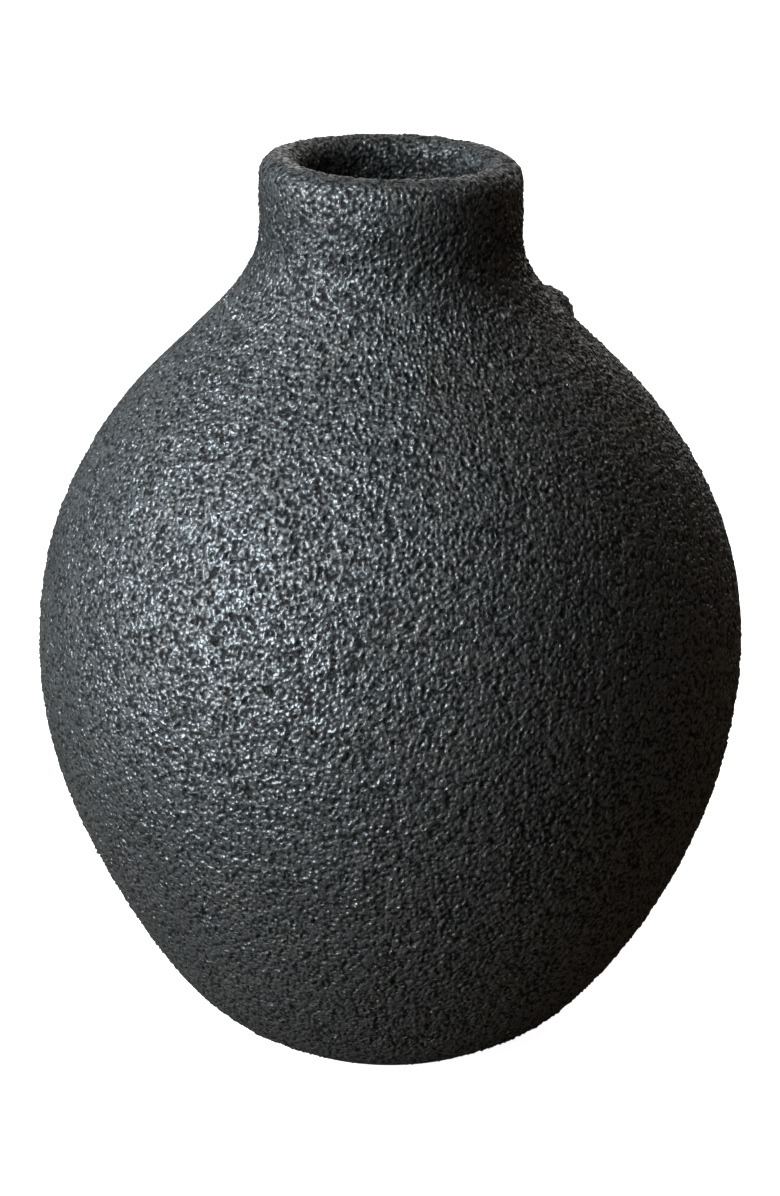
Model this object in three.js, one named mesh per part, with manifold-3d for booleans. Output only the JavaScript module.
// Stoneware vase: a full round body on a small foot, closing over a sloping shoulder to a short
// collar neck with a thick rolled lip, under a coarse volcanic coat.
//
// The wall is drawn once, as the outline of the finished coat in the plane (radius, height).
// Every shell piece is a band of that outline: it runs from one length along the outline to
// another, between two depths under the finished surface.

import * as THREE from 'three';
import { mergeVertices } from 'three/addons/utils/BufferGeometryUtils.js';
import Module from 'manifold-3d';

const wasm = await Module();
wasm.setup();

// Driving dimensions, in millimetres and degrees
const HEIGHT = 250;
const FOOT_RADIUS = 36;
const FOOT_SLOPE = 12.5;
const BELLY_RADIUS = 97.5;
const BELLY_HEIGHT = 113;
const SHOULDER_RADIUS = 64;
const SHOULDER_HEIGHT = 190.5;
const SHOULDER_SLOPE = 44.5;
const NECK_RADIUS = 35.6;
const NECK_HEIGHT = 230;
const LIP_TUBE = 6.1;

// How far each curve follows its end directions: the fullness of the outline
const FOOT_FULLNESS = 22.5;
const BELLY_LOWER_FULLNESS = 52;
const BELLY_UPPER_FULLNESS = 26;
const SHOULDER_FULLNESS = 32.5;
const SWEEP_FULLNESS = 23;
const NECK_FULLNESS = 13;

// Layers, as depths under the finished surface
const COAT = 1.6;
const LINER = 1.1;
const GAP = 0.3;
const CLAY_OUT = COAT + GAP;
const CLAY_IN = 2 * LIP_TUBE - CLAY_OUT;
const CLAY_MID = (CLAY_OUT + CLAY_IN) / 2;
const LINER_OUT = CLAY_IN + GAP;
const LINER_IN = LINER_OUT + LINER;
const THROAT_IN = 2 * LIP_TUBE;

// Foot and floor
const FOOT_INNER_RADIUS = 27;
const FOOT_RING_HEIGHT = 5.1;
const BARE_FOOT = 3.6;
const FLOOR_RADIUS = 38;
const FLOOR_THICKNESS = 7;

// Lap joints and the coils that are pressed into them inside
const LAP = 4;
const NECK_JOINT_SHARE = 0.75;
const THROAT_SHARE = 0.35;
const COIL_HALF_WIDTH = 7;
const COIL_DEPTH = 2.4;

// Lug on the shoulder
const LUG_AZIMUTH = 36;
const LUG_CENTRE_HEIGHT = 201.5;
const LUG_HALF_WIDTH = 9;
const LUG_HALF_LENGTH = 7;
const LUG_RISE = 5.8;

const ROUND_SEGMENTS = 32;
const LIP_STEPS = 6;
const COIL_STEPS = 5;
const HALVINGS = 40;
const MERGE_DISTANCE = 1e-4;

const radians = THREE.MathUtils.degToRad;
const vec = (x, y) => new THREE.Vector2(x, y);

// ---------------------------------------------------------------- outline

// One stretch of the outline: from a point in a direction, to a point in a direction.
function stretch(start, startAngle, startPull, end, endAngle, endPull) {
  const leave = vec(Math.cos(startAngle), Math.sin(startAngle)).multiplyScalar(startPull);
  const arrive = vec(Math.cos(endAngle), Math.sin(endAngle)).multiplyScalar(endPull);
  return new THREE.CubicBezierCurve(start, start.clone().add(leave), end.clone().sub(arrive), end);
}

const UP = radians(90);
const SHOULDER_RUN = radians(180 - SHOULDER_SLOPE);
const footEdge = vec(FOOT_RADIUS, 0);
const belly = vec(BELLY_RADIUS, BELLY_HEIGHT);
const shoulder = vec(SHOULDER_RADIUS, SHOULDER_HEIGHT);
const neckRoot = vec(NECK_RADIUS, NECK_HEIGHT);
const lipStart = vec(NECK_RADIUS, HEIGHT - LIP_TUBE);

const stretches = [
  stretch(footEdge, radians(FOOT_SLOPE), FOOT_FULLNESS, belly, UP, BELLY_LOWER_FULLNESS),
  stretch(belly, UP, BELLY_UPPER_FULLNESS, shoulder, SHOULDER_RUN, SHOULDER_FULLNESS),
  stretch(shoulder, SHOULDER_RUN, SWEEP_FULLNESS, neckRoot, UP, NECK_FULLNESS),
  new THREE.LineCurve(neckRoot, lipStart),
];
const STRETCH_STEPS = [9, 7, 6, 1];
const FINE_STEPS = 20;

const outline = new THREE.CurvePath();
stretches.forEach((curve) => outline.add(curve));
const LENGTH = outline.getLength();

// Where each stretch ends, as lengths along the outline.
const ends = outline.getCurveLengths();
const BELLY_JOINT = ends[0];
const NECK_JOINT = ends[1] + NECK_JOINT_SHARE * (ends[2] - ends[1]);
const LIP_JOINT = LENGTH - LAP - 1;
const THROAT_END = ends[1] + THROAT_SHARE * (ends[2] - ends[1]);

// Lengths along the outline at which every band has a corner, so that bands nest exactly.
const stations = [BELLY_JOINT + LAP, THROAT_END, NECK_JOINT, NECK_JOINT + LAP, LIP_JOINT];
stretches.forEach((curve, index) => {
  const steps = STRETCH_STEPS[index];
  const lengths = curve.getLengths(steps * FINE_STEPS);
  for (let step = 0; step < steps; step += 1) {
    stations.push(ends[index] - lengths[steps * FINE_STEPS] + lengths[step * FINE_STEPS]);
  }
});
stations.sort((one, other) => one - other);

// The point at a length along the outline and a depth under it.
function under(along, depth) {
  const share = THREE.MathUtils.clamp(along / LENGTH, 0, 1);
  const point = outline.getPoint(share);
  const heading = outline.getTangent(share);
  return vec(point.x - heading.y * depth, point.y + heading.x * depth);
}

// The length along the outline at which the surface at a depth passes a height.
function alongAtHeight(height, depth) {
  let low = 0;
  let high = LENGTH;
  for (let step = 0; step < HALVINGS; step += 1) {
    const middle = (low + high) / 2;
    if (under(middle, depth).y < height) low = middle;
    else high = middle;
  }
  return low;
}

// Points along the outline from one length to another, in either direction, at one depth or at
// a depth that depends on the length.
function run(from, to, depth) {
  const low = Math.min(from, to);
  const high = Math.max(from, to);
  const between = stations.filter((along) => along > low + GAP && along < high - GAP);
  const lengths = [low, ...between, high];
  if (from > to) lengths.reverse();
  const depthAt = typeof depth === 'function' ? depth : () => depth;
  return lengths.map((along) => under(along, depthAt(along)));
}

// The half round over the lip at a depth, from the outside of the neck to the inside.
function overLip(depth) {
  const points = [];
  for (let step = 1; step < LIP_STEPS; step += 1) {
    const angle = (Math.PI * step) / LIP_STEPS;
    const x = NECK_RADIUS - LIP_TUBE + (LIP_TUBE - depth) * Math.cos(angle);
    points.push(vec(x, HEIGHT - LIP_TUBE + (LIP_TUBE - depth) * Math.sin(angle)));
  }
  return points;
}

// The upper end of a wall at a lap joint: the inner half stands higher than the outer half.
function lapTop(joint) {
  return [
    under(joint, CLAY_OUT),
    under(joint, CLAY_MID + GAP / 2),
    under(joint + LAP, CLAY_MID + GAP / 2),
    under(joint + LAP, CLAY_IN),
  ];
}

// The lower end of the wall above it, from the inside to the outside.
function lapBottom(joint) {
  return [
    under(joint + LAP + GAP, CLAY_IN),
    under(joint + LAP + GAP, CLAY_MID - GAP / 2),
    under(joint + GAP, CLAY_MID - GAP / 2),
    under(joint + GAP, CLAY_OUT),
  ];
}

// How much a coil pressed over a joint stands off the inside of the wall, at a length.
function coilRise(along, joint) {
  const share = Math.abs(along - joint) / COIL_HALF_WIDTH;
  return share < 1 ? COIL_DEPTH * Math.cos((share * Math.PI) / 2) : 0;
}

// ---------------------------------------------------------------- solids

// Turns a closed profile about +Z. The profile runs anticlockwise in (radius, height), and is
// reversed here if it doesn't, so that the faces point out.
function turned(profile) {
  const ordered = THREE.ShapeUtils.area(profile) > 0 ? [...profile] : [...profile].reverse();
  const onAxis = ordered.some((point) => point.x === 0);
  if (onAxis) {
    const start = ordered.findIndex((point, index) => {
      const before = ordered[(index + ordered.length - 1) % ordered.length];
      return point.x === 0 && before.x === 0;
    });
    ordered.push(...ordered.splice(0, start));
  } else {
    ordered.push(ordered[0].clone());
  }
  const solid = new THREE.LatheGeometry(ordered, ROUND_SEGMENTS);
  solid.rotateX(UP);
  return solid;
}

// A closed mesh as a solid that can be joined and cut.
function toSolid(geometry) {
  const bare = geometry.clone();
  bare.deleteAttribute('normal');
  bare.deleteAttribute('uv');
  const merged = mergeVertices(bare, MERGE_DISTANCE);
  const vertProperties = new Float32Array(merged.attributes.position.array);
  const triVerts = new Uint32Array(merged.index.array);
  return new wasm.Manifold(new wasm.Mesh({ numProp: 3, vertProperties, triVerts }));
}

function fromSolid(solid) {
  const mesh = solid.getMesh();
  const geometry = new THREE.BufferGeometry();
  geometry.setAttribute('position', new THREE.BufferAttribute(mesh.vertProperties, 3));
  geometry.setIndex(new THREE.BufferAttribute(mesh.triVerts, 1));
  geometry.computeVertexNormals();
  return geometry;
}

// ---------------------------------------------------------------- base

const FLOOR_BOTTOM = FOOT_RING_HEIGHT + GAP;
const FLOOR_TOP = FLOOR_BOTTOM + FLOOR_THICKNESS;

function footRing() {
  const shelf = alongAtHeight(FOOT_RING_HEIGHT, CLAY_OUT);
  return turned([
    vec(FOOT_INNER_RADIUS, 0),
    vec(FOOT_RADIUS, 0),
    under(BARE_FOOT - GAP, 0),
    ...run(BARE_FOOT - GAP, shelf, CLAY_OUT),
    vec(FOOT_INNER_RADIUS, FOOT_RING_HEIGHT),
  ]);
}

function floorDisc() {
  return turned([
    vec(0, FLOOR_BOTTOM),
    vec(FLOOR_RADIUS, FLOOR_BOTTOM),
    vec(FLOOR_RADIUS, FLOOR_TOP),
    vec(0, FLOOR_TOP),
  ]);
}

// ---------------------------------------------------------------- walls

function lowerWall() {
  const outerStart = alongAtHeight(FLOOR_BOTTOM, CLAY_OUT);
  const innerStart = alongAtHeight(FLOOR_TOP, CLAY_IN);
  return turned([
    vec(FLOOR_RADIUS + GAP, FLOOR_BOTTOM),
    ...run(outerStart, BELLY_JOINT, CLAY_OUT).slice(0, -1),
    ...lapTop(BELLY_JOINT),
    ...run(BELLY_JOINT + LAP, innerStart, CLAY_IN).slice(1),
    vec(FLOOR_RADIUS + GAP, FLOOR_TOP),
  ]);
}

function upperWall() {
  return turned([
    ...run(BELLY_JOINT + GAP, NECK_JOINT, CLAY_OUT).slice(0, -1),
    ...lapTop(NECK_JOINT),
    ...run(NECK_JOINT + LAP, BELLY_JOINT + LAP + GAP, CLAY_IN).slice(1, -1),
    ...lapBottom(BELLY_JOINT).slice(0, -1),
  ]);
}

function neckCollar() {
  return turned([
    ...run(NECK_JOINT + GAP, LIP_JOINT, CLAY_OUT).slice(0, -1),
    ...lapTop(LIP_JOINT),
    ...run(LIP_JOINT + LAP, NECK_JOINT + LAP + GAP, CLAY_IN).slice(1, -1),
    ...lapBottom(NECK_JOINT).slice(0, -1),
  ]);
}

function lipCoil() {
  return turned([
    under(LIP_JOINT + GAP, CLAY_OUT),
    under(LENGTH, CLAY_OUT),
    ...overLip(CLAY_OUT),
    under(LENGTH, CLAY_IN),
    ...lapBottom(LIP_JOINT).slice(0, -1),
  ]);
}

function seamCoil(joint) {
  const from = joint - COIL_HALF_WIDTH;
  const to = joint + COIL_HALF_WIDTH;
  const rounded = [];
  for (let step = 1; step < COIL_STEPS; step += 1) {
    const along = to + ((from - to) * step) / COIL_STEPS;
    rounded.push(under(along, LINER_OUT + coilRise(along, joint)));
  }
  return turned([...run(from, to, LINER_OUT), ...rounded]);
}

// ---------------------------------------------------------------- lug

const LUG_ALONG = alongAtHeight(LUG_CENTRE_HEIGHT, 0);

// A pinched oval lump across the shoulder, grown by an allowance on every side.
function lugBlank(allowance) {
  const lump = new THREE.SphereGeometry(1, 16, 10);
  lump.rotateX(UP);
  const rise = LUG_RISE + allowance;
  lump.scale(rise, LUG_HALF_WIDTH + allowance, LUG_HALF_LENGTH + allowance);
  const centre = under(LUG_ALONG, 0);
  const heading = outline.getTangent(LUG_ALONG / LENGTH);
  lump.rotateY(UP - Math.atan2(heading.y, heading.x));
  lump.translate(centre.x, 0, centre.y);
  lump.rotateZ(radians(LUG_AZIMUTH));
  return toSolid(lump);
}

// Everything inside a depth under the shoulder and neck, as one solid of revolution.
function shoulderCore(depth) {
  const side = run(BELLY_JOINT, LENGTH, depth);
  const bottom = vec(0, side[0].y);
  const top = vec(0, side[side.length - 1].y);
  return toSolid(turned([bottom, ...side, top]));
}

function shoulderLug() {
  return fromSolid(lugBlank(0).subtract(shoulderCore(COAT)));
}

// ---------------------------------------------------------------- coats

const COAT_SEAM = NECK_JOINT;

function bodyCrust() {
  const shell = turned([
    ...run(BARE_FOOT, COAT_SEAM, 0),
    ...run(COAT_SEAM, BARE_FOOT, COAT),
  ]);
  return fromSolid(toSolid(shell).subtract(lugBlank(GAP)));
}

function neckCrust() {
  return turned([
    ...run(COAT_SEAM + GAP, LENGTH, 0),
    ...overLip(0),
    ...run(LENGTH, THROAT_END, THROAT_IN),
    ...run(THROAT_END, LENGTH, THROAT_IN - COAT),
    ...overLip(COAT).reverse(),
    ...run(LENGTH, COAT_SEAM + GAP, COAT),
  ]);
}

function innerGlaze() {
  const floorGlaze = FLOOR_TOP + GAP;
  const start = alongAtHeight(floorGlaze, LINER_OUT);
  const innerStart = alongAtHeight(floorGlaze + LINER, LINER_IN);
  const end = THROAT_END - GAP;
  const overCoil = (depth) => (along) => {
    const rise = coilRise(along, BELLY_JOINT);
    return rise > 0 ? depth + rise + GAP : depth;
  };
  return turned([
    vec(0, floorGlaze),
    ...run(start, end, overCoil(LINER_OUT)),
    ...run(end, innerStart, overCoil(LINER_IN)),
    vec(0, floorGlaze + LINER),
  ]);
}

// ---------------------------------------------------------------- vase

const bareClay = { color: 0x3a332d, roughness: 0.9, metalness: 0 };
const crust = { color: 0x34363a, roughness: 0.55, metalness: 0 };
const liner = { color: 0x17181a, roughness: 0.3, metalness: 0 };

const pieces = [
  ['foot_ring', footRing(), bareClay],
  ['floor_disc', floorDisc(), bareClay],
  ['lower_wall', lowerWall(), bareClay],
  ['upper_wall', upperWall(), bareClay],
  ['belly_seam_coil', seamCoil(BELLY_JOINT), bareClay],
  ['neck_collar', neckCollar(), bareClay],
  ['lip_coil', lipCoil(), bareClay],
  ['shoulder_lug', shoulderLug(), crust],
  ['body_crust', bodyCrust(), crust],
  ['neck_crust', neckCrust(), crust],
  ['inner_glaze', innerGlaze(), liner],
];

const vase = new THREE.Group();
for (const [name, geometry, finish] of pieces) {
  const mesh = new THREE.Mesh(geometry, new THREE.MeshStandardMaterial(finish));
  mesh.name = name;
  vase.add(mesh);
}

export default vase;
